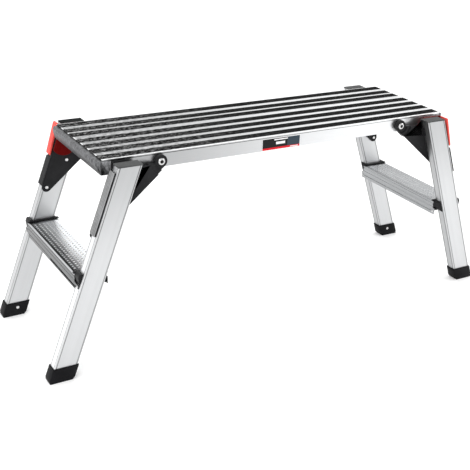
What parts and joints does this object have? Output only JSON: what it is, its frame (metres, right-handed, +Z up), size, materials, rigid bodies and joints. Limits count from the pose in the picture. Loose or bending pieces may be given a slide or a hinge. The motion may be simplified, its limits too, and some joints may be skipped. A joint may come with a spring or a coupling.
{
  "type": "folding work platform",
  "caption": "Low folding work platform: aluminium deck with black anti-slip strips on splayed leg frames with steps, which fold flat under it.",
  "frame": {"origin": "on the floor, under the middle of the deck", "axes": "+X along the deck, +Y to the back, +Z up; the label is on the front, -Y"},
  "size_m": [1.3276, 0.397, 0.5225],
  "materials": {
    "deck_aluminium": "satin extruded aluminium",
    "step_aluminium": "satin aluminium sheet with a pressed grip pattern",
    "leg_aluminium": "satin extruded aluminium with fine lengthwise lines",
    "anti_slip_strip": "matte gritty",
    "end_cap_plastic": "satin moulded plastic",
    "top_cap_plastic": "satin moulded plastic",
    "bracket_plastic": "fine-grained moulded plastic",
    "foot_plastic": "matte moulded",
    "latch_plastic": "satin red moulded plastic",
    "rivet_steel": "domed rivet heads",
    "bolt_steel": "zinc plated",
    "spring_steel": "drawn wire",
    "label_film": null
  },
  "bodies": {
    "deck": {"cross_brace_left": "deck_aluminium", "cross_brace_right": "deck_aluminium", "deck_sheet": "deck_aluminium", "end_cap_left": "end_cap_plastic", "end_cap_right": "end_cap_plastic", "grip_strip_1": "anti_slip_strip", "grip_strip_2": "anti_slip_strip", "grip_strip_3": "anti_slip_strip", "grip_strip_4": "anti_slip_strip", "grip_strip_5": "anti_slip_strip", "grip_strip_6": "anti_slip_strip", "grip_strip_7": "anti_slip_strip", "label_plate": "label_film", "pivot_bolt_back_left": "bolt_steel", "pivot_bolt_back_right": "bolt_steel", "pivot_bolt_front_left": "bolt_steel", "pivot_bolt_front_right": "bolt_steel", "side_rail_back": "deck_aluminium", "side_rail_front": "deck_aluminium"},
    "left_leg_frame": {"bracket_rivet_lower_back_left": "rivet_steel", "bracket_rivet_lower_front_left": "rivet_steel", "bracket_rivet_upper_back_left": "rivet_steel", "bracket_rivet_upper_front_left": "rivet_steel", "foot_cap_back_left": "foot_plastic", "foot_cap_front_left": "foot_plastic", "foot_rivet_back_left": "rivet_steel", "foot_rivet_front_left": "rivet_steel", "hinge_bracket_back_left": "bracket_plastic", "hinge_bracket_front_left": "bracket_plastic", "latch_pin_back_left": "bolt_steel", "latch_spring_back_left": "spring_steel", "leg_back_left": "leg_aluminium", "leg_front_left": "leg_aluminium", "leg_top_cap_back_left": "top_cap_plastic", "leg_top_cap_front_left": "top_cap_plastic", "step_bracket_back_left": "bracket_plastic", "step_bracket_front_left": "bracket_plastic", "step_tread_left": "step_aluminium"},
    "right_leg_frame": {"bracket_rivet_lower_back_right": "rivet_steel", "bracket_rivet_lower_front_right": "rivet_steel", "bracket_rivet_upper_back_right": "rivet_steel", "bracket_rivet_upper_front_right": "rivet_steel", "foot_cap_back_right": "foot_plastic", "foot_cap_front_right": "foot_plastic", "foot_rivet_back_right": "rivet_steel", "foot_rivet_front_right": "rivet_steel", "hinge_bracket_back_right": "bracket_plastic", "hinge_bracket_front_right": "bracket_plastic", "latch_pin_front_right": "bolt_steel", "latch_spring_front_right": "spring_steel", "leg_back_right": "leg_aluminium", "leg_front_right": "leg_aluminium", "leg_top_cap_back_right": "top_cap_plastic", "leg_top_cap_front_right": "top_cap_plastic", "step_bracket_back_right": "bracket_plastic", "step_bracket_front_right": "bracket_plastic", "step_tread_right": "step_aluminium"},
    "latch_left": {"latch_back_left": "latch_plastic"},
    "latch_right": {"latch_front_right": "latch_plastic"}
  },
  "joints": [
    {"name": "left_frame_fold", "type": "hinge", "parent": "deck", "child": "left_leg_frame", "pos_m": [-0.357, 0, 0.502], "axis": [0, -1, 0], "range_deg": [0, 109.8]},
    {"name": "right_frame_fold", "type": "hinge", "parent": "deck", "child": "right_leg_frame", "pos_m": [0.357, 0, 0.502], "axis": [0, 1, 0], "range_deg": [0, 88]},
    {"name": "left_latch_press", "type": "hinge", "parent": "left_leg_frame", "child": "latch_left", "pos_m": [-0.47861, 0.1602, 0.46776], "axis": [0, 1, 0], "range_deg": [0, 7], "stiffness_Nm_per_rad": 0.6, "springref_deg": -8.59},
    {"name": "right_latch_press", "type": "hinge", "parent": "right_leg_frame", "child": "latch_right", "pos_m": [0.47861, -0.1602, 0.46776], "axis": [0, -1, 0], "range_deg": [0, 7], "stiffness_Nm_per_rad": 0.6, "springref_deg": -8.59}
  ]
}
